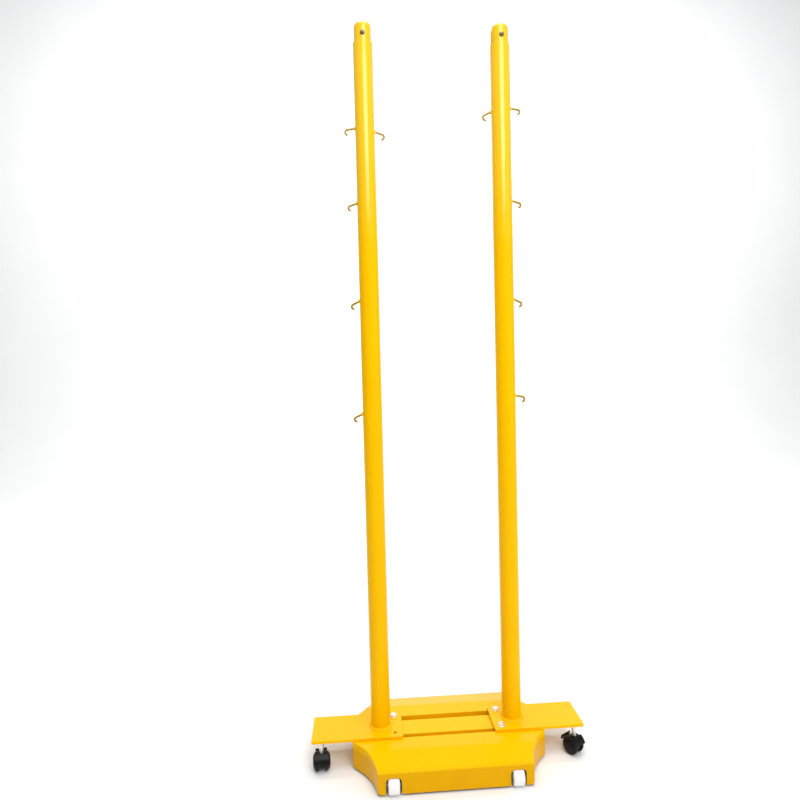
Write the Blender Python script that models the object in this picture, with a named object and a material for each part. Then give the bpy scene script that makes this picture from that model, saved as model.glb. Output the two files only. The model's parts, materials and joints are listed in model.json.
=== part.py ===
"""Twin-post net stand: two steel posts on a wheeled, weighted base.

Metres, +Z up. The origin is on the floor, midway between the posts. The posts stand apart
along X, and the front of the base faces -Y.
"""
import math

import bmesh
import bpy
from mathutils import Matrix, Vector

GAP = 0.0003                     # clearance between pieces that touch

# Posts and their pulley heads
TOTAL_HEIGHT = 2.100
POST_X = 0.195
POST_RADIUS = 0.028
POST_WALL = 0.003
POST_TOP = 2.046
HEAD_RADIUS = 0.0255
HEAD_PLUG_LENGTH = 0.036
SLOT_WIDTH = 0.014
SLOT_FLOOR = 2.0425
PIN_HEIGHT = 2.064
PIN_RADIUS = 0.004
PULLEY_RADIUS = 0.020
PULLEY_WIDTH = 0.011

# Net hooks: rod, straight run and curl
HOOK_ROD = 0.003
HOOK_RUN = 0.021
HOOK_SWEEP = math.radians(160)
# side of the stand, direction from its post, height, droop in degrees, radius of the curl
HOOKS = {
    "hook_left_outer_1": (-1, -1, 1.812, 8, 0.0075),
    "hook_left_outer_2": (-1, -1, 1.6035, 18, 0.0065),
    "hook_left_outer_3": (-1, -1, 1.328, 25, 0.0065),
    "hook_left_outer_4": (-1, -1, 1.0055, 24, 0.0065),
    "hook_left_inner": (-1, 1, 1.8025, 18, 0.0075),
    "hook_right_outer_1": (1, 1, 1.870, 8, 0.0065),
    "hook_right_outer_2": (1, 1, 1.6085, 16, 0.0065),
    "hook_right_outer_3": (1, 1, 1.327, 25, 0.0065),
    "hook_right_outer_4": (1, 1, 1.047, 10, 0.0075),
    "hook_right_inner": (1, -1, 1.860, 24, 0.0075),
}

# Arm plates, with the bolts at their inner ends
ARM_END = 0.394
ARM_INNER = 0.133
ARM_HALF_WIDTH = 0.060
ARM_TOP = 0.088
ARM_THICKNESS = 0.008
ARM_BOTTOM = ARM_TOP - ARM_THICKNESS
BOLT_X = 0.156
BOLT_Y = 0.040
BOLT_RADIUS = 0.005
BOLT_FLATS = 0.017
BOLT_HEAD = 0.0064
BOLT_FLANGE = 0.0105
EMPTY_HOLE = ("left", "front")    # the one plate hole without a bolt

# Weight boxes: folded sheet shells, front one at -Y
SHEET = 0.003
FLANGE_TOP = ARM_BOTTOM - GAP
BOX_INNER_Y = 0.052
BOX_CREASE_Y = 0.1075
BOX_FACE_Y = 0.178
BOX_FOLD_Z = 0.0635
BOX_BOTTOM = 0.006
BOX_HALF_LENGTH = 0.2775
BOX_FACE_HALF = 0.2108
END_HOLLOW = 0.0130               # how far the end walls curve in
FRONT_ROUND = 0.010               # rounding of the lower corners at the face
BACK_ROUND = 0.007                # and at the inner ends of the end walls
FLANGE_STEPS = (0.10, 0.32, 0.66, 1.0)
SLOPE_STEPS = (0.25, 0.5, 0.75, 0.88, 0.95, 1.0)

# What fills the boxes: a flat bottom plate with the ballast standing on it
FILLING_Y = BOX_INNER_Y + SHEET + 0.0005
BOTTOM_PLATE_Z = 0.0165
BALLAST_Z = 0.0188
BALLAST_TOP = 0.070

# Beam between the boxes, and the bars across it that carry the arm plates
BEAM_HALF_WIDTH = 0.034
BEAM_TOP = 0.077
BEAM_HEIGHT = 0.050
BEAM_HALF_LENGTH = 0.270
BAR_HALF_WIDTH = 0.015
BAR_BOTTOM = 0.062

# Base wheels in the boxes
WHEEL_X = 0.168
WHEEL_Y = 0.165
WHEEL_RADIUS = 0.025
WHEEL_WIDTH = 0.031
AXLE_RADIUS = 0.005
CUTOUT_HALF = 0.021
CUTOUT_TOP = 0.050
FORK_CHEEK = 0.003
FORK_INNER = 0.0175

# Swivel casters under the arm ends
CASTER_X = 0.3665
CASTER_Y = 0.052
CASTER_TURN = {"left": math.radians(-174), "right": math.radians(-150)}
TRAIL = 0.004
CASTER_RADIUS = 0.025
CASTER_WHEEL_IN = 0.0085
CASTER_WHEEL_OUT = 0.0245
CASTER_AXLE = 0.003
STEM_RADIUS = 0.005
BRAKE_PIVOT = Vector((0, -0.019, 0.038))
BRAKE_PIN = 0.002

SIDES = {"left": -1, "right": 1}
ENDS = {"front": 1, "rear": -1}


# ---------------------------------------------------------------- helpers

def clear_scene():
    for item in list(bpy.data.objects):
        bpy.data.objects.remove(item, do_unlink=True)


def make_material(name, colour, roughness, metallic):
    made = bpy.data.materials.new(name)
    made.use_nodes = True
    shader = made.node_tree.nodes["Principled BSDF"]
    shader.inputs["Base Color"].default_value = (*colour, 1)
    shader.inputs["Roughness"].default_value = roughness
    shader.inputs["Metallic"].default_value = metallic
    return made


def ring(radius, height, segments, flats=None):
    """A circle at a height, or a hexagon of the given width across flats."""
    points = []
    for i in range(segments):
        angle = 2 * math.pi * i / segments
        reach = radius
        if flats:
            off = (angle + math.pi / 6) % (math.pi / 3) - math.pi / 6
            reach = flats / 2 / math.cos(off)
        points.append(Vector((reach * math.cos(angle), reach * math.sin(angle), height)))
    return points


def loft(bm, rings, wrap=False):
    """Skin a run of equal rings: capped at both ends, or joined end to end."""
    rows = [[bm.verts.new(point) for point in points] for points in rings]
    count = len(rows[0])
    pairs = list(zip(rows, rows[1:]))
    if wrap:
        pairs.append((rows[-1], rows[0]))
    for low, high in pairs:
        for i in range(count):
            j = (i + 1) % count
            bm.faces.new((low[i], low[j], high[j], high[i]))
    if not wrap:
        bm.faces.new(rows[0])
        bm.faces.new(rows[-1])


def turned(profile, segments, wrap=False):
    """Turn (radius, height) points about Z; wrap closes the profile round a bore."""
    bm = bmesh.new()
    loft(bm, [ring(radius, height, segments) for radius, height in profile], wrap)
    return bm


def prism(outline, low, high):
    """Stand an XY outline up between two heights."""
    bm = bmesh.new()
    loft(bm, [[Vector((x, y, z)) for x, y in outline] for z in (low, high)])
    return bm


def framed_prism(outer, inner, low, high):
    """A prism with a matching hole right through it."""
    bm = bmesh.new()
    rows = [(outer, low), (outer, high), (inner, high), (inner, low)]
    loft(bm, [[Vector((x, y, z)) for x, y in line] for line, z in rows], wrap=True)
    return bm


def rectangle(x0, x1, y0, y1):
    return [(x0, y0), (x1, y0), (x1, y1), (x0, y1)]


def rounded_rectangle(x0, x1, y0, y1, radius, steps=3):
    corners = ((x1, y1, 0), (x0, y1, 1), (x0, y0, 2), (x1, y0, 3))
    points = []
    for x, y, quarter in corners:
        inset_x = x - math.copysign(radius, x - (x0 + x1) / 2)
        inset_y = y - math.copysign(radius, y - (y0 + y1) / 2)
        for i in range(steps + 1):
            angle = math.pi / 2 * (quarter + i / steps)
            points.append((inset_x + radius * math.cos(angle), inset_y + radius * math.sin(angle)))
    return points


def arc(centre, radius, start, stop, steps):
    """Points round a centre, angles in degrees."""
    points = []
    for i in range(steps + 1):
        angle = math.radians(start + (stop - start) * i / steps)
        points.append((centre[0] + radius * math.cos(angle), centre[1] + radius * math.sin(angle)))
    return points


def along_x(bm):
    """Turn a shape built along Z so that it lies along X, its X going to Y and its Y to Z."""
    turn = Matrix(((0, 0, 1, 0), (1, 0, 0, 0), (0, 1, 0, 0), (0, 0, 0, 1)))
    bmesh.ops.transform(bm, verts=bm.verts, matrix=turn)
    return bm


def along_y(bm):
    """Turn a shape built along Z so that it lies along Y, its Y going to -Z."""
    bmesh.ops.transform(bm, verts=bm.verts, matrix=Matrix.Rotation(-math.pi / 2, 4, "X"))
    return bm


def place(name, bm, surface, location=(0, 0, 0), parent=None, smooth=True, crease=35):
    bmesh.ops.recalc_face_normals(bm, faces=bm.faces)
    mesh = bpy.data.meshes.new(name)
    bm.to_mesh(mesh)
    bm.free()
    if surface:
        mesh.materials.append(surface)
    if smooth:
        mesh.shade_smooth()
        mesh.set_sharp_from_angle(angle=math.radians(crease))
    made = bpy.data.objects.new(name, mesh)
    made.location = location
    made.parent = parent
    bpy.context.scene.collection.objects.link(made)
    return made


def combine(target, bm, kind="DIFFERENCE", location=(0, 0, 0), parent=None):
    """Cut a shape out of an object, or weld it on."""
    tool = place(target.name + "_tool", bm, None, location, parent, smooth=False)
    tool.hide_render = True
    tool.display_type = "WIRE"
    step = target.modifiers.new(kind.title(), "BOOLEAN")
    step.operation = kind
    step.solver = "EXACT"
    step.object = tool


def anchor(name, location, turn=0.0):
    made = bpy.data.objects.new(name, None)
    made.location = location
    made.rotation_euler = (0, 0, turn)
    bpy.context.scene.collection.objects.link(made)
    return made


# ---------------------------------------------------------------- base frame

def end_outline(inset):
    """Half the box outline in plan at +X, from the inner corner round to the front corner."""
    half = BOX_HALF_LENGTH - inset
    face_half = BOX_FACE_HALF - inset
    face_y = BOX_FACE_Y - inset
    start = Vector((half, ARM_HALF_WIDTH))
    stop = Vector((face_half, face_y))
    chord = stop - start
    inward = Vector((-chord.y, chord.x)).normalized()
    radius = (chord.length_squared / 4 + END_HOLLOW ** 2) / (2 * END_HOLLOW)
    centre = (start + stop) / 2 - inward * (radius - END_HOLLOW)
    first = math.atan2(start.y - centre.y, start.x - centre.x)
    last = math.atan2(stop.y - centre.y, stop.x - centre.x)
    crease = -math.pi - math.asin((BOX_CREASE_Y - centre.y) / radius)
    angles = [first] + [first + (crease - first) * share for share in FLANGE_STEPS]
    angles += [crease + (last - crease) * share for share in SLOPE_STEPS]
    curve = [(centre.x + radius * math.cos(a), centre.y + radius * math.sin(a)) for a in angles]
    return [(half, BOX_INNER_Y + inset)] + curve


def box_outline(inset):
    """The whole outline in plan, with the rounded run-in at each front corner."""
    right = end_outline(inset)
    face_x, face_y = right[-1]
    run_in = [(face_x - FRONT_ROUND * f, face_y) for f in (0.15, 0.45, 1.0)]
    right = right + run_in
    left = [(-x, y) for x, y in reversed(right)]
    return right + left


def slope_height(y):
    """Height of the box's upper surface at a distance from the stand's middle."""
    if y <= BOX_CREASE_Y:
        return FLANGE_TOP
    fall = (y - BOX_CREASE_Y) / (BOX_FACE_Y - BOX_CREASE_Y)
    return FLANGE_TOP - fall * (FLANGE_TOP - BOX_FOLD_Z)


def rounding(distance, radius):
    """Rise of a rounded corner at a distance along the edge from it."""
    if distance >= radius:
        return 0.0
    return radius - math.sqrt(radius ** 2 - (radius - distance) ** 2)


def lower_edge(x, y):
    """Height of the box's lower edge at a point of its outline."""
    from_face = math.dist((abs(x), y), (BOX_FACE_HALF, BOX_FACE_Y))
    from_back = math.dist((abs(x), y), (BOX_HALF_LENGTH, ARM_HALF_WIDTH))
    return BOX_BOTTOM + max(rounding(from_face, FRONT_ROUND), rounding(from_back, BACK_ROUND))


def box_shell(name, end, surface):
    """Folded sheet box, open underneath, with two openings for the wheels."""
    facing = -end
    outer = box_outline(0)
    inner = box_outline(SHEET)
    tops = [(x, y, slope_height(y)) for x, y in outer]
    roofs = [(x, y, slope_height(y + SHEET * (y > BOX_CREASE_Y)) - SHEET) for x, y in inner]
    feet = [(x, y, lower_edge(x, y)) for x, y in outer]
    insteps = [(x, y, foot[2]) for (x, y), foot in zip(inner, feet)]
    bm = bmesh.new()
    rows = []
    for points in (tops, feet, insteps, roofs):
        rows.append([bm.verts.new((x, facing * y, z)) for x, y, z in points])
    count = len(outer)
    for low, high in zip(rows, rows[1:]):
        for i in range(count):
            j = (i + 1) % count
            bm.faces.new((low[i], low[j], high[j], high[i]))
    crease = 1 + len(FLANGE_STEPS)
    for row in (rows[0], rows[3]):
        mirror = count - 1 - crease
        bm.faces.new(row[:crease + 1] + row[mirror:])
        bm.faces.new(row[crease:mirror + 1])
    bmesh.ops.triangulate(bm, faces=bm.faces)
    shell = place(name, bm, surface, crease=12)
    for side in SIDES.values():
        outline = rounded_rectangle(-CUTOUT_HALF, CUTOUT_HALF, -0.02, CUTOUT_TOP, 0.012, 4)
        cutter = along_y(prism([(x, -z) for x, z in outline], -0.006, 0.006))
        combine(shell, cutter, location=(side * WHEEL_X, facing * (BOX_FACE_Y - SHEET / 2), 0))


def inner_outline(inset, near, far):
    """The box outline cut off between two distances from the middle."""
    line = end_outline(inset)
    right = [(x, y) for x, y in line if near < y < far]
    (x0, y0), (x1, y1) = line[len(right)], line[len(right) + 1]
    end_x = x0 + (x1 - x0) * (far - y0) / (y1 - y0)
    right = [(right[0][0], near)] + right + [(end_x, far)]
    return right + [(-x, y) for x, y in reversed(right)]


def box_filling(name, end, surface, inset, near, far, low, high):
    facing = -end
    outline = [(x, facing * y) for x, y in inner_outline(inset, near, far)]
    place(name, prism(outline, low, high), surface, smooth=False)


def centre_beam(surface):
    """A rectangular tube with a drilled bar let in across it under each arm plate."""
    outer = rectangle(-BEAM_HALF_WIDTH, BEAM_HALF_WIDTH, 0, BEAM_HEIGHT)
    inner = rectangle(-BEAM_HALF_WIDTH + SHEET, BEAM_HALF_WIDTH - SHEET, SHEET, BEAM_HEIGHT - SHEET)
    tube = along_x(framed_prism(outer, inner, -BEAM_HALF_LENGTH, BEAM_HALF_LENGTH))
    beam = place("centre_beam", tube, surface, (0, 0, BEAM_TOP - BEAM_HEIGHT), smooth=False)
    half = BOX_INNER_Y - 0.0015
    plan = rectangle(-BAR_HALF_WIDTH, BAR_HALF_WIDTH, -half, half)
    for side in SIDES.values():
        bar = prism(plan, BAR_BOTTOM, ARM_BOTTOM - GAP)
        combine(beam, bar, "UNION", (side * BOLT_X, 0, 0))
        bolt_holes(beam, side, BAR_BOTTOM - 0.01, ARM_BOTTOM + 0.01)


def bolt_holes(target, side, low, high):
    for y in (-BOLT_Y, BOLT_Y):
        hole = turned([(BOLT_RADIUS + GAP, low), (BOLT_RADIUS + GAP, high)], 12)
        combine(target, hole, location=(side * BOLT_X, y, 0))


def arm_plate(name, side, surface):
    x0, x1 = sorted((side * ARM_INNER, side * ARM_END))
    outline = rounded_rectangle(x0, x1, -ARM_HALF_WIDTH, ARM_HALF_WIDTH, 0.004, 2)
    plate = place(name, prism(outline, ARM_BOTTOM, ARM_TOP), surface, smooth=False)
    bolt_holes(plate, side, ARM_BOTTOM - 0.01, ARM_TOP + 0.01)
    socket = turned([(STEM_RADIUS + GAP, ARM_BOTTOM - 0.01), (STEM_RADIUS + GAP, ARM_TOP - 0.0018)], 12)
    combine(plate, socket, location=(side * CASTER_X, -CASTER_Y, 0))


def hex_bolt(shank, length, flats, head, flange=None):
    """A bolt hanging below Z = 0, with its head, and perhaps a flange, above."""
    bm = bmesh.new()
    rings = [ring(shank * 0.8, -length, 12), ring(shank, -length + 0.001, 12), ring(shank, 0, 12)]
    seat = 0
    if flange:
        seat = head * 0.22
        rings += [ring(flange, 0, 12), ring(flange, seat * 0.7, 12)]
    rings += [ring(0, seat, 12, flats), ring(0, head * 0.85, 12, flats), ring(flats * 0.46, head, 12)]
    loft(bm, rings)
    return bm


def hex_nut(bore, flats, height):
    bm = bmesh.new()
    rings = [ring(bore, 0, 12), ring(0, 0, 12, flats), ring(0, height, 12, flats), ring(bore, height, 12)]
    loft(bm, rings, wrap=True)
    return bm


def plate_bolts(surface):
    """The bolts that hold the arm plates; the left front hole is empty, as on the real stand."""
    length = ARM_TOP - BAR_BOTTOM - 0.002
    for side, sign in SIDES.items():
        for end, facing in ENDS.items():
            if (side, end) == EMPTY_HOLE:
                continue
            bolt = hex_bolt(BOLT_RADIUS, length, BOLT_FLATS, BOLT_HEAD, BOLT_FLANGE)
            spot = (sign * BOLT_X, -facing * BOLT_Y, ARM_TOP + GAP)
            place(f"plate_bolt_{side}_{end}", bolt, surface, spot)


# ---------------------------------------------------------------- base wheels

def wheel_fork(name, x, y, facing, surface):
    """A channel over the wheel, its two cheeks carrying the axle bolt."""
    outer = FORK_INNER + FORK_CHEEK
    foot, web, top = 0.014, 0.0523, 0.0553
    outline = [(-outer, foot), (-FORK_INNER, foot), (-FORK_INNER, web), (FORK_INNER, web)]
    outline += [(FORK_INNER, foot), (outer, foot), (outer, top), (-outer, top)]
    back = BOX_FACE_Y - SHEET - GAP - WHEEL_Y
    low, high = sorted((facing * back, facing * -0.020))
    fork = place(name, along_y(prism([(u, -z) for u, z in outline], low, high)), surface, (x, y, 0), smooth=False)
    hole = along_x(turned([(AXLE_RADIUS + GAP, -0.03), (AXLE_RADIUS + GAP, 0.03)], 12))
    combine(fork, hole, location=(x, y, WHEEL_RADIUS))


def base_wheel(name, x, y, surface):
    half = WHEEL_WIDTH / 2
    bore = AXLE_RADIUS + GAP
    profile = [(bore, -half), (0.0198, -half), (0.0226, -half + 0.0017), (0.0243, -half + 0.0042)]
    profile.append((WHEEL_RADIUS, -half + 0.0076))
    profile += [(radius, -height) for radius, height in reversed(profile)]
    place(name, along_x(turned(profile, 20, wrap=True)), surface, (x, y, WHEEL_RADIUS))


def wheel_axle(label, x, y, surface):
    """A bolt across the fork from the +X side, with its nut on the other cheek."""
    cheek = FORK_INNER + FORK_CHEEK + GAP
    nut_height = 0.008
    bolt = hex_bolt(AXLE_RADIUS, 2 * cheek + nut_height + 0.001, 0.016, BOLT_HEAD)
    place(f"axle_bolt_{label}", along_x(bolt), surface, (x + cheek, y, WHEEL_RADIUS))
    nut = along_x(hex_nut(AXLE_RADIUS + GAP, 0.016, nut_height))
    place(f"axle_nut_{label}", nut, surface, (x - cheek - nut_height, y, WHEEL_RADIUS))


def base_wheels(paint, nylon, zinc):
    for end, facing in ENDS.items():
        for side, sign in SIDES.items():
            label = f"{end}_{side}"
            x, y = sign * WHEEL_X, -facing * WHEEL_Y
            wheel_fork(f"wheel_fork_{label}", x, y, -facing, paint)
            base_wheel(f"base_wheel_{label}", x, y, nylon)
            wheel_axle(label, x, y, zinc)


# ---------------------------------------------------------------- posts

def post(name, x, surface):
    inner = POST_RADIUS - POST_WALL
    low = ARM_TOP + GAP
    profile = [(POST_RADIUS, low), (POST_RADIUS, POST_TOP), (inner, POST_TOP), (inner, low)]
    place(name, turned(profile, 32, wrap=True), surface, (x, 0, 0))


def pulley_head(name, x, surface):
    """A domed plug in the top of the post, slotted for the pulley."""
    plug = POST_RADIUS - POST_WALL - GAP
    shoulder = POST_TOP + GAP
    profile = [(plug, POST_TOP - HEAD_PLUG_LENGTH), (plug, shoulder), (HEAD_RADIUS, shoulder)]
    crown = 0.012
    for i in range(4):
        angle = math.radians(90 * i / 4)
        reach = HEAD_RADIUS - crown * (1 - math.cos(angle))
        profile.append((reach, TOTAL_HEIGHT - crown * (1 - math.sin(angle))))
    profile.append((HEAD_RADIUS - crown * 1.1, TOTAL_HEIGHT))
    head = place(name, turned(profile, 24), surface, (x, 0, 0))
    slot = rectangle(-0.03, 0.03, -SLOT_WIDTH / 2, SLOT_WIDTH / 2)
    combine(head, prism(slot, SLOT_FLOOR, TOTAL_HEIGHT + 0.01), location=(x, 0, 0))
    bore = along_y(turned([(PIN_RADIUS + GAP, -0.03), (PIN_RADIUS + GAP, 0.03)], 12))
    combine(head, bore, location=(x, 0, PIN_HEIGHT))


def pulley(name, x, surface):
    half = PULLEY_WIDTH / 2
    bore = PIN_RADIUS + GAP
    groove = PULLEY_RADIUS - 0.004
    profile = [(bore, -half), (PULLEY_RADIUS, -half), (PULLEY_RADIUS, -half + 0.0015), (groove, -0.0012)]
    profile += [(radius, -height) for radius, height in reversed(profile)]
    place(name, along_y(turned(profile, 20, wrap=True)), surface, (x, 0, PIN_HEIGHT))


def pulley_pin(name, x, surface):
    """A rivet through both cheeks, with a button head at each end."""
    seat = HEAD_RADIUS + GAP
    profile = [(0.0045, -seat - 0.0028), (0.0065, -seat - 0.0016), (0.0065, -seat), (PIN_RADIUS, -seat)]
    profile += [(radius, -height) for radius, height in reversed(profile)]
    place(name, along_y(turned(profile, 12)), surface, (x, 0, PIN_HEIGHT))


def hook_path(droop, curl):
    """The rod's centre line: outward and down, then curling back under."""
    start = math.radians(-droop)
    run_end = Vector((HOOK_RUN * math.cos(start), HOOK_RUN * math.sin(start)))
    centre = run_end + curl * Vector((math.sin(start), -math.cos(start)))
    path = [(Vector((0, 0)), start)]
    steps = 7
    for i in range(steps + 1):
        heading = start - HOOK_SWEEP * i / steps
        point = centre - curl * Vector((math.sin(heading), -math.cos(heading)))
        path.append((point, heading))
    return path


def net_hook(name, side, direction, height, droop, curl, surface):
    bm = bmesh.new()
    rings = []
    for point, heading in hook_path(droop, curl):
        across = Vector((-math.sin(heading), 0, math.cos(heading)))
        if not rings:
            across = Vector((0, 0, 1))
        circle = []
        for i in range(8):
            angle = 2 * math.pi * i / 8
            offset = across * math.cos(angle) + Vector((0, 1, 0)) * math.sin(angle)
            spot = Vector((point.x, 0, point.y)) + HOOK_ROD * offset
            circle.append(Vector((direction * spot.x, spot.y, spot.z)))
        rings.append(circle)
    loft(bm, rings)
    place(name, bm, surface, (side * POST_X + direction * (POST_RADIUS + GAP), 0, height))


# ---------------------------------------------------------------- casters

def caster_stem(name, x, surface):
    """A pin whose tapered collar fills the space between the hood and the arm plate."""
    seat = ARM_BOTTOM - GAP
    profile = [(STEM_RADIUS, 0.0325), (STEM_RADIUS, 0.0515), (0.0055, 0.0515), (0.0068, 0.0650), (0.0068, seat)]
    profile += [(STEM_RADIUS, seat), (STEM_RADIUS, ARM_TOP - 0.0018 - GAP)]
    place(name, turned(profile, 12), surface, (x, -CASTER_Y, 0))


def caster_hood(name, parent, surface):
    """The body between the wheels: stem socket, axle boss, brake lugs and guard."""
    axle = (-TRAIL, CASTER_RADIUS)
    outline = [(0.0085, 0.0505), (-0.0085, 0.0505), (-0.0125, 0.0490)]
    outline += arc(BRAKE_PIVOT.yz, 0.0055, 100, 200, 4)
    outline += arc(axle, 0.0205, 160, 378, 12)
    outline += arc(axle, 0.0275, 18, 58, 4)
    hood = place(name, along_x(prism(outline, -0.0078, 0.0078)), surface, parent=parent)
    guard = arc(axle, 0.0285, 15, 68, 6) + arc(axle, 0.0264, 68, 15, 6)
    web = along_x(prism(guard, -0.0205, 0.0205))
    combine(hood, web, "UNION", parent=parent)
    combine(hood, turned([(STEM_RADIUS + GAP, 0.032), (STEM_RADIUS + GAP, 0.07)], 12), parent=parent)
    hole = along_x(turned([(CASTER_AXLE + GAP, -0.02), (CASTER_AXLE + GAP, 0.02)], 10))
    combine(hood, hole, location=(0, *axle), parent=parent)
    clearance = arc(BRAKE_PIVOT.yz, 0.0068, -90, 90, 6) + [(-0.040, 0.0448), (-0.040, 0.0312)]
    combine(hood, along_x(prism(clearance, -0.0048, 0.0048)), parent=parent)
    lug_hole = along_x(turned([(BRAKE_PIN + GAP, -0.02), (BRAKE_PIN + GAP, 0.02)], 8))
    combine(hood, lug_hole, location=BRAKE_PIVOT, parent=parent)


def caster_wheel(name, sign, parent, surface):
    """One of the twin wheels, domed outside, its bore blind from the inner side."""
    bore = CASTER_AXLE + GAP
    near, far = CASTER_WHEEL_IN, CASTER_WHEEL_OUT
    profile = [(bore, far - 0.005), (bore, near), (0.0235, near), (CASTER_RADIUS, near + 0.0015)]
    profile += [(CASTER_RADIUS, near + 0.0045), (0.0245, far - 0.0087), (0.0232, far - 0.0062)]
    profile += [(0.0207, far - 0.0036), (0.0172, far - 0.0017), (0.0130, far - 0.0005), (0.0080, far)]
    profile = [(radius, sign * height) for radius, height in profile]
    place(name, along_x(turned(profile, 20)), surface, (0, -TRAIL, CASTER_RADIUS), parent)


def brake_lever(name, parent, surface):
    """A pedal across both wheels, on an arm whose trunnions turn in the hood's lugs."""
    axle = Vector((-TRAIL, CASTER_RADIUS)) - BRAKE_PIVOT.yz
    eye = arc((0, 0), 0.0048, -60, 110, 6)
    outline = eye + arc(axle, 0.0310, 138, 152, 2) + arc(axle, 0.0288, 156, 150, 2)
    arm = place(name, along_x(prism(outline, -0.0043, 0.0043)), surface, BRAKE_PIVOT, parent)
    pedal = arc(axle, 0.0330, 143, 170, 4) + arc(axle, 0.0286, 170, 143, 4)
    combine(arm, along_x(prism(pedal, -0.0165, 0.0165)), "UNION", BRAKE_PIVOT, parent)
    trunnion = along_x(turned([(BRAKE_PIN, -0.0076), (BRAKE_PIN, 0.0076)], 8))
    combine(arm, trunnion, "UNION", BRAKE_PIVOT, parent)


def caster_axle(name, parent, surface):
    pin = along_x(turned([(CASTER_AXLE, -0.0190), (CASTER_AXLE, 0.0190)], 10))
    place(name, pin, surface, (0, -TRAIL, CASTER_RADIUS), parent)


def caster(side, black, rubber, zinc):
    x = SIDES[side] * CASTER_X
    caster_stem(f"caster_stem_{side}", x, zinc)
    swivel = anchor(f"caster_{side}_swivel", (x, -CASTER_Y, 0), CASTER_TURN[side])
    caster_hood(f"caster_hood_{side}", swivel, black)
    for label, sign in (("a", -1), ("b", 1)):
        caster_wheel(f"caster_wheel_{side}_{label}", sign, swivel, rubber)
    caster_axle(f"caster_axle_{side}", swivel, zinc)
    brake_lever(f"brake_lever_{side}", swivel, black)


# ---------------------------------------------------------------- the stand

def build():
    clear_scene()
    yellow = make_material("yellow_enamel", (0.90, 0.60, 0.006), 0.28, 0.0)
    zinc = make_material("zinc_plate", (0.72, 0.72, 0.70), 0.32, 1.0)
    hooked = make_material("hook_paint", (0.70, 0.45, 0.03), 0.40, 0.0)
    dark = make_material("dark_steel", (0.03, 0.03, 0.03), 0.50, 0.4)
    iron = make_material("cast_iron", (0.10, 0.10, 0.10), 0.75, 0.6)
    nylon = make_material("white_nylon", (0.86, 0.86, 0.84), 0.45, 0.0)
    black = make_material("black_plastic", (0.015, 0.015, 0.016), 0.35, 0.0)
    tread = make_material("caster_tread", (0.018, 0.018, 0.018), 0.50, 0.0)

    for label, end in ENDS.items():
        box_shell(f"box_shell_{label}", end, yellow)
        plate = (BOTTOM_PLATE_Z, BALLAST_Z - GAP)
        ballast = (BALLAST_Z, BALLAST_TOP)
        box_filling(f"bottom_plate_{label}", end, dark, SHEET + 0.0006, FILLING_Y, 0.132, *plate)
        box_filling(f"ballast_{label}", end, iron, SHEET + 0.003, FILLING_Y + 0.002, 0.130, *ballast)
    centre_beam(yellow)
    for label, side in SIDES.items():
        arm_plate(f"arm_plate_{label}", side, yellow)
        post(f"post_{label}", side * POST_X, yellow)
        pulley_head(f"pulley_head_{label}", side * POST_X, yellow)
        pulley(f"pulley_{label}", side * POST_X, nylon)
        pulley_pin(f"pulley_pin_{label}", side * POST_X, zinc)
        caster(label, black, tread, zinc)
    plate_bolts(zinc)
    base_wheels(dark, nylon, zinc)
    for name, setting in HOOKS.items():
        net_hook(name, *setting, hooked)


build()
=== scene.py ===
"""Looks for the twin-post net stand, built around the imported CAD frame.

Metres, +Z up, the same axes as the frame: the posts stand apart along X and the front faces -Y.
Pieces take their places and sizes from the frame's own boxes.
"""

import json
import math

import bmesh
import bpy
from mathutils import Matrix, Vector


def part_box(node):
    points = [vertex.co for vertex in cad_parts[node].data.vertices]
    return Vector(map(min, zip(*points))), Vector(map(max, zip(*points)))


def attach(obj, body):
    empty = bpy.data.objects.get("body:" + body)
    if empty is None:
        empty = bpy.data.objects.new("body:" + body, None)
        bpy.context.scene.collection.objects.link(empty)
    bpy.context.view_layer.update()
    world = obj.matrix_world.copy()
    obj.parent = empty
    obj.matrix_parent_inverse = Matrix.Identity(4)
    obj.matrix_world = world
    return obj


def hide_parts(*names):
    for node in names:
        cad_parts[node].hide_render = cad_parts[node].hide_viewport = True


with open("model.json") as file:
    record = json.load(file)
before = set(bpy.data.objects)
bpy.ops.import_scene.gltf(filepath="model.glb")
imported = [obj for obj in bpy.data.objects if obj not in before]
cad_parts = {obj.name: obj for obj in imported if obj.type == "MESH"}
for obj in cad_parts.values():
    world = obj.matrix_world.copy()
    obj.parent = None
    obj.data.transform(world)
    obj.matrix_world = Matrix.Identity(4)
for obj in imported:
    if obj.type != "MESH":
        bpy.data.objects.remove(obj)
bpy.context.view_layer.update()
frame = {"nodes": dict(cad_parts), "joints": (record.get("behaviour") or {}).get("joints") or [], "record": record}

# Camera: its place, and its turns in degrees about the vertical, sideways and view axes
CAMERA_PLACE = (-0.226, -1.669, 1.111)
CAMERA_YAW, CAMERA_PITCH, CAMERA_ROLL = -3.81, -2.32, 1.44
CAMERA_LENS, CAMERA_SENSOR = 26.1, 36.0
CAMERA_CLIP = 60.0

# Lights: place, target, width, height and watts
LIGHTS = {
    "key": ((0.5, -2.7, 3.25), (0, 0, 1.1), 2.0, 1.5, 58),
    "side": ((2.6, -1.8, 1.5), (0, 0, 1.0), 1.2, 2.6, 20),
    "fill": ((-3.0, -2.2, 1.4), (0, 0, 0.9), 1.0, 2.2, 4),
    "top": ((0.0, -0.9, 5.0), (0, 0, 0), 3.4, 2.8, 105),
    "backdrop_wash": ((0.6, 1.8, 5.2), (0.6, 6.0, 2.4), 10.0, 2.0, 360),
}
WORLD_STRENGTH = 0.30

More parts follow.
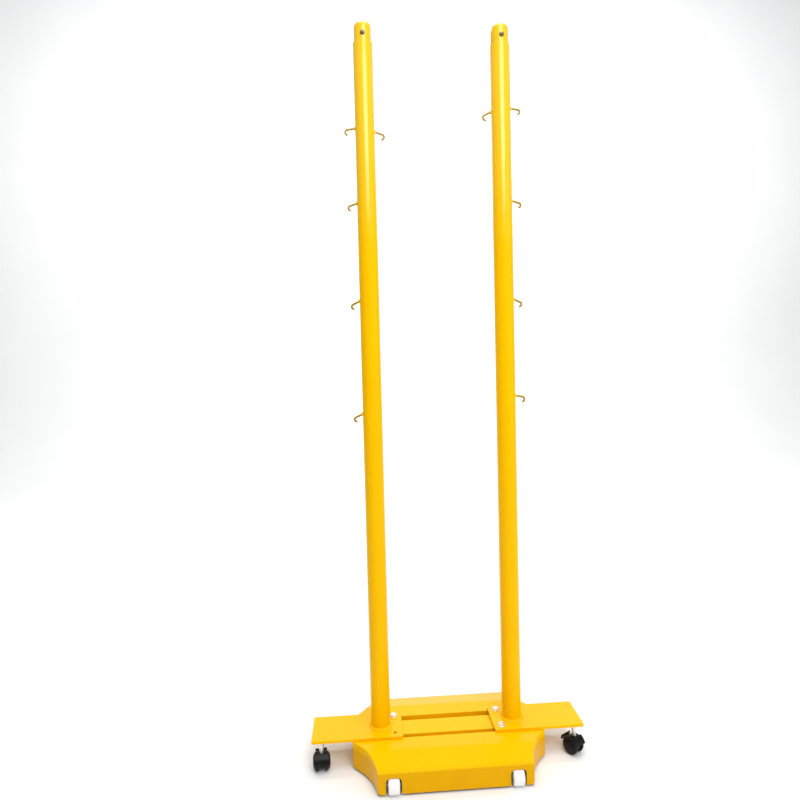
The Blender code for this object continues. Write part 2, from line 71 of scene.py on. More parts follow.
# Sizes that the frame's boxes do not give
FOLD_RADIUS = 0.0022             # outside of a bend in the sheet
PLATE_EDGE = 0.0007              # broken edge of a cut plate
BEAM_EDGE = 0.0012               # rounded edges of the other pieces that keep the CAD's shape
BALLAST_EDGE = 0.0020
BOTTOM_EDGE = 0.0005
FORK_EDGE = 0.0007
HOOD_EDGE = 0.0006
PEDAL_EDGE = 0.0004
WELD_SIZE = 0.0060               # legs of the weld at a post's foot
WELD_BEADS, WELD_RIPPLE, WELD_WANDER = 34, 0.10, 0.06
WELD_BITE = 0.0010               # depth a weld reaches into the post's wall
CLEARANCE = 0.0003
AXIS_GAP = 0.0003                # radius of the small flat where a turned shape meets its axis
POST_WALL = 0.003
POST_EDGE = 0.0008
HEAD_CROWN = 0.012               # rounding of a pulley head's top
HEAD_EDGE = 0.0006
SLOT_WIDTH = 0.014
SLOT_ROOM = 0.0015               # room under a pulley in its slot
PIN_HOLE = 0.0043
CUT_REACH = 0.04                 # half length of a cutter, more than any head it goes through
PULLEY_LIP = 0.0016              # rim on each side of a pulley's groove
PULLEY_GROOVE = 0.0042
PULLEY_EDGE = 0.0004
RIVET_DOME = 0.0028
OPENING_TOP = 0.055              # the wheel openings in the boxes end below this height
OPENING_EDGE = 0.3               # share of the bends' rounding that the openings' edges get
WHEEL_SHOULDER = 0.0062          # rounding of a base wheel's tread
WHEEL_DISH = 0.0016              # depth of its dished sides
PLATE_BOLT_HEX, PLATE_BOLT_FLANGE = 0.017, 0.0105
FLANGE_RISE = 0.0022             # thickness of a bolt's flange where it meets the hexagon
AXLE_HEX = 0.016
HEX_CHAMFER = 0.0011
BOLT_HEAD = 0.0064
BOLT_SHANK = 0.005
CASTER_NEAR, CASTER_FAR, CASTER_BORE = 0.0085, 0.0245, 0.0033
CASTER_HUB = 0.008               # flat middle of a caster wheel's dome
CASTER_INNER = 0.0235            # radius of its flat inner side
CASTER_ROLL = 0.0015             # rounding between the inner side and the tread
CASTER_TREAD = 0.0045            # width of the tread
SEAM_DEPTH = 0.0006
STEM_RADIUS = 0.005
STEM_EDGE = 0.0006
COLLAR_LOW, COLLAR_WIDE, COLLAR_HIGH = 0.0515, 0.0650, 0.0797
COLLAR_FOOT = 0.0055
HOOK_ROD = 0.003
HOOK_RUN = 0.021
HOOK_SWEEP = math.radians(160)
MERGE_REACH = 1e-6               # corners closer than this are one corner
FLAT_ANGLE = math.radians(0.6)   # faces that turn by less than this are one face
SMOOTH_ANGLE = math.radians(32)  # edges that turn by more than this are shaded sharp
WELD_ANGLE = math.radians(50)
HEX_ANGLE = math.radians(24)

SIDES = ("left", "right")
ENDS = ("front", "rear")
# droop of each hook in degrees, and the radius of its curl
HOOKS = {
    "hook_left_outer_1": (8, 0.0075),
    "hook_left_outer_2": (18, 0.0065),
    "hook_left_outer_3": (25, 0.0065),
    "hook_left_outer_4": (24, 0.0065),
    "hook_left_inner": (18, 0.0075),
    "hook_right_outer_1": (8, 0.0065),
    "hook_right_outer_2": (16, 0.0065),
    "hook_right_outer_3": (25, 0.0065),
    "hook_right_outer_4": (10, 0.0075),
    "hook_right_inner": (24, 0.0075),
}


# ---------------------------------------------------------------- shader helpers

class Shader:
    """A material's node tree, with short calls for the nodes used here."""

    def __init__(self, name):
        self.material = bpy.data.materials.new(name)
        self.material.use_nodes = True
        self.tree = self.material.node_tree
        self.surface = self.tree.nodes["Principled BSDF"]
        self.where = self.tree.nodes.new("ShaderNodeTexCoord").outputs["Object"]

    def node(self, kind, links=None, **settings):
        made = self.tree.nodes.new(kind)
        for key, value in settings.items():
            setattr(made, key, value)
        for socket, value in (links or {}).items():
            if isinstance(value, bpy.types.NodeSocket):
                self.tree.links.new(value, made.inputs[socket])
            else:
                made.inputs[socket].default_value = value
        return made

    def noise(self, scale, detail, stretch=None):
        where = self.where
        if stretch:
            where = self.node("ShaderNodeMapping", {"Vector": where, "Scale": stretch}).outputs[0]
        links = {"Vector": where, "Scale": scale, "Detail": detail, "Roughness": 0.55}
        return self.node("ShaderNodeTexNoise", links).outputs["Fac"]

    def between(self, value, low, high, out_low=0.0, out_high=1.0):
        links = {"Value": value, 1: low, 2: high, 3: out_low, 4: out_high}
        return self.node("ShaderNodeMapRange", links).outputs[0]

    def height(self, low, high):
        """0 at one height above the floor, 1 at another."""
        axes = self.node("ShaderNodeSeparateXYZ", {0: self.where})
        return self.between(axes.outputs["Z"], low, high)

    def math(self, operation, a, b):
        return self.node("ShaderNodeMath", {0: a, 1: b}, operation=operation).outputs[0]

    def mix(self, share, a, b):
        made = self.node("ShaderNodeMix", {"Factor": share}, data_type="RGBA")
        for index, value in ((6, a), (7, b)):
            if isinstance(value, bpy.types.NodeSocket):
                self.tree.links.new(value, made.inputs[index])
            else:
                made.inputs[index].default_value = (*value, 1)
        return made.outputs[2]

    def bump(self, value, strength, distance, below=None):
        links = {"Height": value, "Strength": strength, "Distance": distance}
        if below:
            links["Normal"] = below
        return self.node("ShaderNodeBump", links).outputs[0]

    def feed(self, **sockets):
        for name, value in sockets.items():
            socket = self.surface.inputs[name.replace("_", " ")]
            if isinstance(value, bpy.types.NodeSocket):
                self.tree.links.new(value, socket)
            else:
                socket.default_value = value
        return self.material


# ---------------------------------------------------------------- materials

# heights above the floor between which a finish changes
GLOSS_AND_HIGHLIGHT_BAND = (1.48, 1.76)       # the paint is glossy above this, and its colour is paled there as a painted highlight
PAINTED_SHADE_BAND = (0.067, 0.060)       # painted shade: the paint is darkened below this, under the boxes' sloping tops
WEATHERED_BAND = (1.90, 2.00)    # the zinc has gone dark above this


def enamel(name, colour, deep, roughness):
    """Enamel: faint clouds and orange peel, glossy up high with a painted highlight paling its colour there,
    painted shade darkening it near the floor, and patches of grime low down.
    """
    s = Shader(name)
    cloud = s.between(s.noise(7.0, 4.0), 0.35, 0.65)
    paint = s.mix(s.math("MULTIPLY", cloud, 0.35), colour, deep)
    gloss_and_highlight = s.height(*GLOSS_AND_HIGHLIGHT_BAND)
    # painted highlight: up high the paint's colour is paled towards a lighter yellow, where the coat also makes it
    # glossy
    paint = s.mix(s.math("MULTIPLY", gloss_and_highlight, 0.5), paint, (colour[0], colour[1] * 1.16, 0.012))
    # painted shade: the paint is darkened near the floor, under the boxes' sloping tops
    shaded_paint = s.mix(s.height(*PAINTED_SHADE_BAND), paint, tuple(0.84 * part for part in deep))
    scratches = s.between(s.noise(140.0, 2.0, (1.0, 1.0, 0.12)), 0.66, 0.72)
    low_down = s.height(0.10, 0.0)
    patches = s.between(s.noise(18.0, 5.0), 0.50, 0.68)
    grime = s.math("MULTIPLY", s.math("MULTIPLY", low_down, patches), 0.16)
    dirt = (deep[0] * 0.60, deep[1] * 0.52, 0.01)
    scuffs = s.math("MULTIPLY", s.math("MULTIPLY", scratches, low_down), 0.25)
    sheen = s.between(s.noise(45.0, 4.0), 0.3, 0.7, roughness - 0.04, roughness + 0.06)
    rough = s.math("ADD", sheen, scuffs)
    peel = s.bump(s.noise(420.0, 1.0), 0.045, 0.0004)
    waves = s.bump(s.noise(26.0, 2.0), 0.05, 0.0012, peel)
    return s.feed(Base_Color=s.mix(grime, shaded_paint, dirt), Roughness=rough, Normal=waves,
                  IOR=1.5, Specular_IOR_Level=0.12, Specular_Tint=(1.0, 0.86, 0.42, 1.0),
                  Coat_Weight=gloss_and_highlight, Coat_Roughness=0.16)


def plated_steel(name):
    """Bright zinc: a mottled crystal pattern with fine drawing marks, weathered up at the pins."""
    s = Shader(name)
    cells = s.node("ShaderNodeTexVoronoi", {"Vector": s.where, "Scale": 620.0}).outputs["Color"]
    tone = s.node("ShaderNodeRGBToBW", {0: cells}).outputs[0]
    colour = s.mix(s.between(tone, 0.2, 0.8, 0.0, 0.5), (0.84, 0.84, 0.80), (0.64, 0.64, 0.60))
    colour = s.mix(s.height(*WEATHERED_BAND), colour, (0.13, 0.12, 0.10))
    lines = s.noise(900.0, 2.0, (1.0, 1.0, 0.08))
    rough = s.between(s.noise(260.0, 3.0), 0.3, 0.7, 0.30, 0.46)
    return s.feed(Base_Color=colour, Roughness=rough, Metallic=1.0,
                  Normal=s.bump(lines, 0.10, 0.0002))


def gap_shade_steel(name):
    """Pressed sheet in near-black, painted shade for the dark gaps beside the base wheels, with a little dust."""
    s = Shader(name)
    dust = s.between(s.noise(30.0, 5.0), 0.5, 0.75, 0.0, 0.5)
    # painted shade: near-black so the sheet reads as the dark gaps beside the wheels; the paler patches are dust
    colour = s.mix(dust, (0.022, 0.022, 0.023), (0.075, 0.068, 0.055))
    rough = s.between(s.noise(120.0, 3.0), 0.3, 0.7, 0.42, 0.62)
    return s.feed(Base_Color=colour, Roughness=rough,
                  Normal=s.bump(s.noise(700.0, 2.0), 0.20, 0.0003))


def cast_iron(name):
    """Sand-cast metal: coarse grain, a little rust in the hollows."""
    s = Shader(name)
    grain = s.noise(240.0, 6.0)
    rust = s.between(s.noise(14.0, 6.0), 0.52, 0.70, 0.0, 0.7)
    colour = s.mix(rust, (0.075, 0.073, 0.072), (0.16, 0.065, 0.028))
    return s.feed(Base_Color=colour, Roughness=s.between(grain, 0.3, 0.7, 0.62, 0.85),
                  Metallic=0.5, Normal=s.bump(grain, 0.55, 0.0010))


def nylon(name):
    """White moulded nylon: faint flow marks and a scatter of small grey scuffs."""
    s = Shader(name)
    flow = s.between(s.noise(60.0, 4.0, (0.3, 1.0, 1.0)), 0.35, 0.70, 0.0, 0.5)
    colour = s.mix(flow, (0.93, 0.93, 0.92), (0.87, 0.87, 0.85))
    marks = s.between(s.noise(210.0, 5.0), 0.62, 0.74, 0.0, 0.16)
    colour = s.mix(marks, colour, (0.50, 0.48, 0.44))
    rough = s.between(s.noise(90.0, 3.0), 0.3, 0.7, 0.34, 0.48)
    return s.feed(Base_Color=colour, Roughness=rough,
                  Normal=s.bump(s.noise(500.0, 3.0), 0.12, 0.0004),
                  Subsurface_Weight=0.12, Subsurface_Scale=0.002)


def black_plastic(name, grey, roughness, grain):
    """Moulded black plastic with a spark-eroded grain and a little floor dust."""
    s = Shader(name)
    dust = s.between(s.noise(48.0, 6.0), 0.52, 0.78, 0.0, 0.30)
    colour = s.mix(dust, (grey, grey, grey * 1.04), (grey * 2.6, grey * 2.5, grey * 2.3))
    rough = s.between(s.noise(150.0, 4.0), 0.3, 0.7, roughness - 0.06, roughness + 0.10)
    return s.feed(Base_Color=colour, Roughness=rough, Specular_IOR_Level=0.22,
                  Normal=s.bump(s.noise(grain, 3.0), 0.22, 0.0003))


def backdrop_white(name):
    """Matt studio white, very slightly uneven."""
    s = Shader(name)
    shade = s.between(s.noise(1.5, 3.0), 0.3, 0.7, 0.0, 1.0)
    colour = s.mix(shade, (0.90, 0.90, 0.90), (0.92, 0.92, 0.92))
    return s.feed(Base_Color=colour, Roughness=0.9, Specular_IOR_Level=0.1)


FINISHES = {
    "yellow_enamel": enamel("yellow_enamel_look", (0.98, 0.535, 0.0), (0.96, 0.49, 0.0), 0.24),
    # the hooks: a dark ochre, far deeper than the stand's yellow
    "hook_paint": enamel("hook_paint_look", (0.40, 0.24, 0.012), (0.30, 0.17, 0.012), 0.34),
    "zinc_plate": plated_steel("zinc_plate_look"),
    "dark_steel": gap_shade_steel("gap_shade_steel_look"),
    "cast_iron": cast_iron("cast_iron_look"),
    "white_nylon": nylon("white_nylon_look"),
    "black_plastic": black_plastic("black_plastic_look", 0.0035, 0.34, 800.0),
    "caster_tread": black_plastic("caster_tread_look", 0.0030, 0.46, 420.0),
}
SLOT_OF = {part["node"]: part["material_slot"] for part in frame["record"]["subparts"]}
BODIES = frame["record"]["behaviour"]["bodies"]
BODY_OF = {node: body for body, nodes in BODIES.items() for node in nodes}


# ---------------------------------------------------------------- mesh helpers

def ring(radius, height, segments):
    """Points round a circle about Z."""
    points = []
    for i in range(segments):
        angle = 2 * math.pi * i / segments
        points.append(Vector((radius * math.cos(angle), radius * math.sin(angle), height)))
    return points


def skin(bm, rings, closed):
    """Faces between a run of equal rings, with flat caps unless the run closes on itself."""
    rows = [[bm.verts.new(point) for point in points] for points in rings]
    pairs = list(zip(rows, rows[1:]))
    if closed:
        pairs.append((rows[-1], rows[0]))
    for low, high in pairs:
        for i in range(len(low)):
            j = (i + 1) % len(low)
            bm.faces.new((low[i], low[j], high[j], high[i]))
    if not closed:
        bm.faces.new(rows[0])
        bm.faces.new(rows[-1])


def turned(profile, segments, closed=False):
    """A body of revolution about Z from (radius, height) points."""
    bm = bmesh.new()
    skin(bm, [ring(radius, height, segments) for radius, height in profile], closed)
    return bm


def rounded(profile, radius, steps=4):
    """Round every corner of a (radius, height) profile, as a moulded or turned part has."""
    points = []
    previous, following = profile[-1:] + profile[:-1], profile[1:] + profile[:1]
    for before, corner, after in zip(previous, profile, following):
        here = Vector(corner)
        back, on = Vector(before) - here, Vector(after) - here
        reach = min(radius, back.length * 0.45, on.length * 0.45)
        start, stop = here + back.normalized() * reach, here + on.normalized() * reach
        for i in range(steps + 1):
            t = i / steps
            point = start * (1 - t) ** 2 + here * 2 * t * (1 - t) + stop * t ** 2
            points.append((point.x, point.y))
    return points


def aim(direction):
    """The turn that takes +Z to a direction."""
    return Vector(direction).to_track_quat("Z", "Y").to_matrix().to_4x4()


def add(name, bm, slot_name, body, matrix=None, node=None, angle=SMOOTH_ANGLE):
    """Make an object from a mesh, give it its finish, and set it on its body."""
    bmesh.ops.recalc_face_normals(bm, faces=bm.faces)
    if matrix:
        bmesh.ops.transform(bm, matrix=matrix, verts=bm.verts)
    mesh = bpy.data.meshes.new(name)
    bm.to_mesh(mesh)
    bm.free()
    mesh.shade_smooth()
    mesh.set_sharp_from_angle(angle=angle)
    mesh.materials.append(FINISHES[slot_name])
    made = bpy.data.objects.new(name, mesh)
    bpy.context.scene.collection.objects.link(made)
    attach(made, body)
    if node:
        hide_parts(node)
    return made


def stand_in(node, bm, matrix=None, angle=SMOOTH_ANGLE):
    """A finer piece that takes a CAD node's place, on its body and in its finish."""
    return add(node + "_fine", bm, SLOT_OF[node], BODY_OF[node], matrix, node, angle)


def edge(made, width, segments, limit):
    """Round an object's edges where its faces turn by more than a limit in degrees."""
    rolled = made.modifiers.new("edges", "BEVEL")
    rolled.width = width
    rolled.segments = segments
    rolled.limit_method = "ANGLE"
    rolled.angle_limit = math.radians(limit)
    rolled.harden_normals = True


def cut(made, bm, matrix):
    """Take a shape out of an object's mesh."""
    bmesh.ops.recalc_face_normals(bm, faces=bm.faces)
    bmesh.ops.transform(bm, matrix=matrix, verts=bm.verts)
    mesh = bpy.data.meshes.new("cutter")
    bm.to_mesh(mesh)
    bm.free()
    cutter = bpy.data.objects.new("cutter", mesh)
    bpy.context.scene.collection.objects.link(cutter)
    step = made.modifiers.new("cut", "BOOLEAN")
    step.solver = "EXACT"
    step.object = cutter
    bpy.context.view_layer.update()
    evaluated = made.evaluated_get(bpy.context.evaluated_depsgraph_get())
    result = bpy.data.meshes.new_from_object(evaluated)
    made.modifiers.clear()
    made.data = result
    bpy.data.objects.remove(cutter)


def softened(node, width, segments, limit=8):
    """The CAD node's own shape with its edges broken or its bends rounded."""
    bm = bmesh.new()
    bm.from_mesh(frame["nodes"][node].data)
    bmesh.ops.remove_doubles(bm, verts=bm.verts, dist=MERGE_REACH)
    bmesh.ops.dissolve_limit(bm, angle_limit=FLAT_ANGLE, verts=bm.verts, edges=bm.edges)
    made = stand_in(node, bm)
    edge(made, width, segments, limit)
    return made


def middle(node):
    """The middle of a CAD node's box."""
    low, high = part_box(node)
    return (low + high) / 2


def sizes(node):
    """A CAD node's width, depth and height."""
    low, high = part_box(node)
    return high - low


def at(place, direction=(0, 0, 1)):
    """Stand a shape built along +Z at a place, pointing in a direction."""
    return Matrix.Translation(place) @ aim(direction)


def joint_axis(name):
    """The direction and place of the axis that carries a body, as the record gives them."""
    found = next(joint for joint in frame["joints"] if joint["child"] == name)
    return Vector(found["axis"]), Vector(found["pos_m"])


# ---------------------------------------------------------------- posts and hooks

def post(node):
    """A plain tube with softened ends, and the weld round its foot."""
    low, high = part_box(node)
    outer = (high.x - low.x) / 2
    inner = outer - POST_WALL
    section = [(outer, low.z), (outer, high.z), (inner, high.z), (inner, low.z)]
    profile = rounded(section, POST_EDGE)
    centre = middle(node)
    stand_in(node, turned(profile, 96, closed=True), at((centre.x, centre.y, 0)))
    foot_weld(node + "_foot_weld", centre.x, outer, low.z)


def foot_weld(name, x, radius, height):
    """The welder's rippled fillet round the foot of a post."""
    bm = bmesh.new()
    rings = []
    steps = 160
    for i in range(steps):
        angle = 2 * math.pi * i / steps
        ripple = WELD_RIPPLE * math.sin(angle * WELD_BEADS)
        wander = WELD_WANDER * math.sin(angle * 5 + 1)
        size = WELD_SIZE * (1 + ripple + wander)
        section = [(-WELD_BITE, 0.0), (size, 0.0), (size * 0.72, size * 0.42)]
        section += [(size * 0.42, size * 0.74), (0.0, size), (-WELD_BITE, size)]
        out = Vector((math.cos(angle), math.sin(angle), 0))
        points = []
        for reach, rise in section:
            points.append(out * (radius + reach) + Vector((x, 0, height + rise)))
        rings.append(points)
    skin(bm, rings, True)
    add(name, bm, "yellow_enamel", "base", angle=WELD_ANGLE)


def pulley_head(node):
    """The domed plug, with the pulley's slot and the pin's hole cut through it."""
    low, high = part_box(node)
    centre = middle(node)
    pin = middle(node.replace("head", "pin"))
    top = (high.x - low.x) / 2
    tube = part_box(node.replace("pulley_head", "post"))[1]
    plug = tube.x - centre.x - POST_WALL - CLEARANCE
    shoulder = tube.z + CLEARANCE
    profile = [(AXIS_GAP, low.z), (plug - HEAD_EDGE, low.z), (plug, low.z + HEAD_EDGE)]
    profile += [(plug, shoulder), (top, shoulder)]
    for i in range(13):
        angle = math.pi / 2 * i / 12
        reach = top - HEAD_CROWN * (1 - math.cos(angle))
        profile.append((reach, high.z - HEAD_CROWN * (1 - math.sin(angle))))
    profile.append((AXIS_GAP, high.z))
    head = stand_in(node, turned(profile, 96), at((centre.x, centre.y, 0)))
    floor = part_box(node.replace("_head", ""))[0].z - SLOT_ROOM
    slot = bmesh.new()
    half = SLOT_WIDTH / 2
    plan = [(-CUT_REACH, -half), (CUT_REACH, -half), (CUT_REACH, half), (-CUT_REACH, half)]
    skin(slot, [[Vector((x, y, z)) for x, y in plan] for z in (floor, high.z + 0.01)], False)
    cut(head, slot, Matrix.Translation((centre.x, centre.y, 0)))
    bore = turned([(PIN_HOLE, -CUT_REACH), (PIN_HOLE, CUT_REACH)], 32)
    cut(head, bore, at(pin, (0, 1, 0)))
    edge(head, HEAD_EDGE, 2, 30)


def pulley(node):
    """A grooved rope wheel with a plain bore."""
    size = sizes(node)
    half, radius = size.y / 2, size.x / 2
    lip = half - PULLEY_LIP
    rim = [(PIN_HOLE, -half), (PIN_HOLE, half), (radius, half), (radius, lip)]
    profile = rounded(rim, PULLEY_EDGE)
    for i in range(11):
        angle = math.pi * i / 10
        profile.append((radius - PULLEY_GROOVE * math.sin(angle), lip * math.cos(angle)))
    profile += rounded([(radius, PULLEY_LIP - half), (radius, -half)], PULLEY_EDGE)
    stand_in(node, turned(profile, 72, closed=True), at(middle(node), (0, 1, 0)))


def pulley_pin(node):
    """A shank with a domed rivet head at each end."""
    size = sizes(node)
    reach, head = size.y / 2, size.x / 2
    half = [(AXIS_GAP, reach)]
    for i in range(1, 9):
        angle = math.pi / 2 * i / 8
        half.append((head * math.sin(angle), reach - RIVET_DOME + RIVET_DOME * math.cos(angle)))
    half += [(head - 0.0004, reach - 0.0029), (PIN_HOLE - CLEARANCE, reach - 0.0029)]
    profile = half + [(radius, -height) for radius, height in reversed(half)]
    stand_in(node, turned(profile, 48), at(middle(node), (0, 1, 0)))


def hook(node, droop, curl):
    """Round rod, bent down into a curl, with a weld collar where it leaves its post."""
    low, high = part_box(node)
    out = 1 if ("right" in node) == ("outer" in node) else -1
    root = Vector((low.x if out > 0 else high.x, 0, high.z - HOOK_ROD))
    start = math.radians(-droop)
    bend = Vector((math.cos(start), math.sin(start))) * HOOK_RUN
    centre = bend + curl * Vector((math.sin(start), -math.cos(start)))
    path = [(Vector((-0.001, 0)), 0.0), (Vector((0, 0)), 0.0)]
    path += [(bend * 0.5, start), (bend * 0.9, start)]
    steps = 22
    for i in range(steps + 1):
        heading = start - HOOK_SWEEP * i / steps
        path.append((centre - curl * Vector((math.sin(heading), -math.cos(heading))), heading))
    bm = bmesh.new()
    rings = [hook_ring(point, heading, HOOK_ROD, out) for point, heading in path]
    end, heading = path[-1]
    for i in range(1, 5):
        angle = math.pi / 2 * i / 4.2
        ahead = Vector((math.cos(heading), math.sin(heading)))
        tip = end + ahead * HOOK_ROD * 0.3 * math.sin(angle)
        rings.append(hook_ring(tip, heading, HOOK_ROD * math.cos(angle), out))
    skin(bm, rings, False)
    stand_in(node, bm, Matrix.Translation(root))
    collar = [(HOOK_ROD * 0.9, 0.0042), (HOOK_ROD + 0.0004, 0.0034), (HOOK_ROD + 0.0012, 0.0018)]
    collar += [(HOOK_ROD + 0.0023, 0.0008), (HOOK_ROD + 0.0030, -0.0006), (HOOK_ROD * 0.9, -0.0008)]
    weld = turned(collar, 32, closed=True)
    for vert in weld.verts:
        swell = 1 + 0.10 * math.sin(5 * math.atan2(vert.co.y, vert.co.x)) * (vert.co.z < 0.003)
        vert.co.x *= swell
        vert.co.y *= swell
    add(node + "_weld", weld, "yellow_enamel", "base", at(root, (out, 0, 0)))


def hook_ring(point, heading, radius, out):
    """The rod's section at a point of its path, square to the way it heads there."""
    across = Vector((-math.sin(heading), 0, math.cos(heading)))
    circle = []
    for i in range(20):
        angle = 2 * math.pi * i / 20
        spoke = across * math.cos(angle) + Vector((0, math.sin(angle), 0))
        spot = Vector((point.x, 0, point.y)) + radius * spoke
        circle.append(Vector((out * spot.x, spot.y, spot.z)))
    return circle


# ---------------------------------------------------------------- base

def box_shell(node):
    """The folded sheet: wide rolled bends, and fine broken edges round the openings."""
    shell = softened(node, FOLD_RADIUS, 4)
    weights = shell.data.attributes.new("bevel_weight_edge", "FLOAT", "EDGE")
    for line in shell.data.edges:
        top = max(shell.data.vertices[i].co.z for i in line.vertices)
        weights.data[line.index].value = 1.0 if top > OPENING_TOP else OPENING_EDGE
    shell.modifiers["edges"].limit_method = "WEIGHT"


def hex_reach(flats, angle):
    """How far a hexagon's side is from its axis at an angle."""
    off = (angle + math.pi / 6) % (math.pi / 3) - math.pi / 6
    return flats / 2 / math.cos(off)


def hex_body(flats, low, high, bore=None, segments=72):
    """A hexagon with its corners turned off at the top, solid or with a bore."""
    levels = [(low, 1.0), (high - HEX_CHAMFER, 1.0)]
    for t in (0.25, 0.5, 0.75, 1.0):
        levels.append((high - HEX_CHAMFER * (1 - t), 1.0 - 0.17 * t ** 1.4))
    corner = flats / math.sqrt(3)
    rings = []
    for height, share in levels:
        points = []
        for i in range(segments):
            angle = 2 * math.pi * i / segments
            reach = min(hex_reach(flats, angle), corner * share)
            points.append(Vector((reach * math.cos(angle), reach * math.sin(angle), height)))
        rings.append(points)
    bm = bmesh.new()
    if bore:
        rings += [ring(bore, high, segments), ring(bore, low, segments)]
    else:
        rings += [ring(flats * 0.30, high, segments), ring(flats * 0.27, high - 0.0003, segments)]
    skin(bm, rings, bool(bore))
    return bm


def fastener(node, direction, flats, flange=0.0):
    """A bolt whose head faces a direction: shank, perhaps a flange, and a chamfered hexagon."""
    direction = Vector(direction)
    low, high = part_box(node)
    axis = [abs(part) for part in direction].index(1)
    length = (high - low)[axis]
    centre = middle(node)
    top = centre + direction * length / 2
    seat = -BOLT_HEAD
    bm = hex_body(flats, seat + (0.0012 if flange else 0), 0)
    if flange:
        plate = [(0.0005, seat), (flange - 0.0004, seat)]
        plate += [(flange, seat + 0.0005), (flange, seat + 0.0009)]
        plate += [(flats / 2 - 0.0002, seat + FLANGE_RISE), (0.0005, seat + FLANGE_RISE)]
        join(bm, turned(plate, 72))
    shank = [(BOLT_SHANK * 0.8, -length), (BOLT_SHANK, -length + 0.001), (BOLT_SHANK, seat)]
    join(bm, turned(shank, 40))
    stand_in(node, bm, at(top, direction), HEX_ANGLE)


def join(bm, other):
    """Add one mesh's faces to another."""
    spare = bpy.data.meshes.new("spare")
    other.to_mesh(spare)
    other.free()
    bm.from_mesh(spare)
    bpy.data.meshes.remove(spare)


def fasteners():
    """The arm plates' bolts, and the bolt and nut on each base wheel's axle."""
    for bolt in [name for name in frame["nodes"] if name.startswith("plate_bolt")]:
        fastener(bolt, (0, 0, 1), PLATE_BOLT_HEX, PLATE_BOLT_FLANGE)
    for end in ENDS:
        for side in SIDES:
            fastener(f"axle_bolt_{end}_{side}", (1, 0, 0), AXLE_HEX)
            nut = f"axle_nut_{end}_{side}"
            half = sizes(nut).x / 2
            body = hex_body(AXLE_HEX, -half, half, BOLT_SHANK + CLEARANCE)
            stand_in(nut, body, at(middle(nut), (-1, 0, 0)), HEX_ANGLE)


def base_wheel(node):
    """Moulded nylon: crowned tread, rolled shoulders, a dished side and a raised hub."""
    size = sizes(node)
    half, radius = size.x / 2, size.z / 2
    bore = BOLT_SHANK + CLEARANCE
    hub = [(bore, half - 0.0004), (bore + 0.0004, half), (0.0092, half), (0.0098, half - 0.0006)]
    dish = [(0.0106, half - WHEEL_DISH), (0.0170, half - WHEEL_DISH)]
    side = hub + dish + [(0.0178, half - 0.0008), (0.0186, half)]
    for i in range(13):
        angle = math.pi / 2 * i / 12
        reach = radius - WHEEL_SHOULDER + (WHEEL_SHOULDER - 0.0001) * math.sin(angle)
        side.append((reach, half - WHEEL_SHOULDER * (1 - math.cos(angle))))
    side.append((radius, half * 0.2))
    profile = side + [(reach, -height) for reach, height in reversed(side)]
    stand_in(node, turned(profile, 96, closed=True), at(middle(node), (1, 0, 0)))


# ---------------------------------------------------------------- casters

def caster_wheel(node):
    """One half of a twin wheel: a narrow tread and a domed outer side with a seam round its cap."""
    axis, place = joint_axis(BODY_OF[node])
    low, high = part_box(node)
    outward = 1 if (middle(node) - place).dot(axis) > 0 else -1
    near, far, radius = CASTER_NEAR, CASTER_FAR, (high.z - low.z) / 2
    profile = [(CASTER_BORE, far - 0.005), (CASTER_BORE, near), (CASTER_INNER, near)]
    for i in range(5):
        angle = math.pi / 2 * i / 4
        reach = radius - CASTER_ROLL + CASTER_ROLL * math.sin(angle)
        profile.append((reach, near + CASTER_ROLL * (1 - math.cos(angle))))
    shoulder = near + CASTER_TREAD
    for i in range(25):
        angle = math.pi / 2 * i / 24
        seam = SEAM_DEPTH if i in (13, 14) else 0.0
        reach = CASTER_HUB + (radius - CASTER_HUB) * math.cos(angle) - seam
        profile.append((reach, shoulder + (far - shoulder) * math.sin(angle) - seam))
    profile += [(CASTER_HUB - 0.0006, far - 0.0006), (0.0004, far - 0.0005)]
    stand_in(node, turned(profile, 96), at(place, axis * outward))


def caster_stem(node):
    """A turned pin with the tapered collar that bears on the arm plate."""
    low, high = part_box(node)
    centre = middle(node)
    collar, rod = (high.x - low.x) / 2, STEM_RADIUS
    profile = [(rod - STEM_EDGE, low.z), (rod, low.z + STEM_EDGE), (rod, COLLAR_LOW)]
    profile += [(COLLAR_FOOT, COLLAR_LOW), (collar - 0.0001, COLLAR_WIDE - STEM_EDGE)]
    profile += [(collar, COLLAR_WIDE), (collar, COLLAR_HIGH - 0.0004)]
    profile += [(collar - 0.0004, COLLAR_HIGH), (rod, COLLAR_HIGH)]
    profile += [(rod, high.z - STEM_EDGE), (rod - STEM_EDGE, high.z)]
    stand_in(node, turned(profile, 48), at((centre.x, centre.y, 0)))


def casters():
    """Both casters: twin wheels, stem, hood and brake pedal."""
    for side in SIDES:
        for label in "ab":
            caster_wheel(f"caster_wheel_{side}_{label}")
        caster_stem(f"caster_stem_{side}")
        softened(f"caster_hood_{side}", HOOD_EDGE, 3, 25)
        softened(f"brake_lever_{side}", PEDAL_EDGE, 2, 25)


# ---------------------------------------------------------------- floor, light, camera

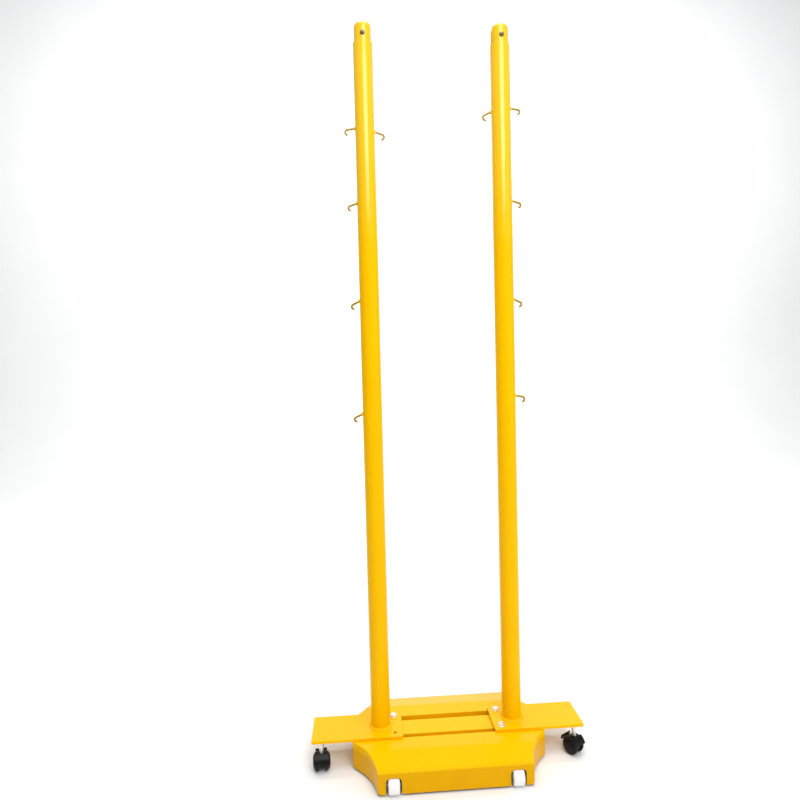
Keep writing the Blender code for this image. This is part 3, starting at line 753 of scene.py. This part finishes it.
def studio():
    """A pale floor that sweeps up into a backdrop, and a dim world round it."""
    bm = bmesh.new()
    reach, back, bend, height = 9.0, 4.0, 2.0, 7.0
    profile = [(-reach, 0.0), (back, 0.0)]
    for i in range(1, 13):
        angle = math.pi / 2 * i / 12
        profile.append((back + bend * math.sin(angle), bend * (1 - math.cos(angle))))
    profile.append((back + bend, height))
    rows = [[bm.verts.new((x, y, z)) for y, z in profile] for x in (-reach, reach)]
    for i in range(len(profile) - 1):
        bm.faces.new((rows[0][i], rows[0][i + 1], rows[1][i + 1], rows[1][i]))
    bmesh.ops.recalc_face_normals(bm, faces=bm.faces)
    mesh = bpy.data.meshes.new("backdrop")
    bm.to_mesh(mesh)
    bm.free()
    mesh.shade_smooth()
    mesh.materials.append(backdrop_white("backdrop_look"))
    floor = bpy.data.objects.new("backdrop", mesh)
    bpy.context.scene.collection.objects.link(floor)

    world = bpy.data.worlds.new("studio")
    world.use_nodes = True
    sky = world.node_tree.nodes["Background"]
    sky.inputs["Color"].default_value = (0.96, 0.98, 1.0, 1)
    sky.inputs["Strength"].default_value = WORLD_STRENGTH
    bpy.context.scene.world = world


def soft_light(name, place, target, width, height, watts):
    """A rectangular lamp at a place, facing a target."""
    lamp = bpy.data.lights.new(name, "AREA")
    lamp.shape = "RECTANGLE"
    lamp.size = width
    lamp.size_y = height
    lamp.energy = watts
    made = bpy.data.objects.new(name, lamp)
    made.location = place
    made.rotation_euler = (Vector(target) - Vector(place)).to_track_quat("-Z", "Y").to_euler()
    bpy.context.scene.collection.objects.link(made)


def lights():
    """Every lamp of the studio."""
    for name, values in LIGHTS.items():
        soft_light(name, *values)


def camera():
    """The camera of the main view."""
    data = bpy.data.cameras.new("camera")
    data.lens = CAMERA_LENS
    data.sensor_width = CAMERA_SENSOR
    data.clip_end = CAMERA_CLIP
    made = bpy.data.objects.new("camera", data)
    turn = Matrix.Rotation(math.radians(CAMERA_YAW), 4, "Z")
    turn = turn @ Matrix.Rotation(math.radians(CAMERA_PITCH), 4, "X")
    turn = turn @ Matrix.Rotation(math.radians(CAMERA_ROLL), 4, "Y")
    level = Matrix.Rotation(math.pi / 2, 4, "X")
    made.matrix_world = Matrix.Translation(CAMERA_PLACE) @ turn @ level
    bpy.context.scene.collection.objects.link(made)
    bpy.context.scene.camera = made


# ---------------------------------------------------------------- the whole

def finish_cad_nodes():
    """Give every CAD node the finish of its slot."""
    for name, node in frame["nodes"].items():
        node.data.materials.clear()
        node.data.materials.append(FINISHES[SLOT_OF[name]])


def build_stand():
    """Every piece of the stand, from the posts down to the casters."""
    for side in SIDES:
        post(f"post_{side}")
        pulley_head(f"pulley_head_{side}")
        pulley(f"pulley_{side}")
        pulley_pin(f"pulley_pin_{side}")
        softened(f"arm_plate_{side}", PLATE_EDGE, 2)
    for node, (droop, curl) in HOOKS.items():
        hook(node, droop, curl)
    softened("centre_beam", BEAM_EDGE, 3)
    for end in ENDS:
        box_shell(f"box_shell_{end}")
        softened(f"ballast_{end}", BALLAST_EDGE, 3)
        softened(f"bottom_plate_{end}", BOTTOM_EDGE, 2)
        for side in SIDES:
            base_wheel(f"base_wheel_{end}_{side}")
            softened(f"wheel_fork_{end}_{side}", FORK_EDGE, 3)
    fasteners()
    casters()


bpy.context.scene.view_settings.view_transform = "Standard"
finish_cad_nodes()
build_stand()
studio()
lights()
camera()
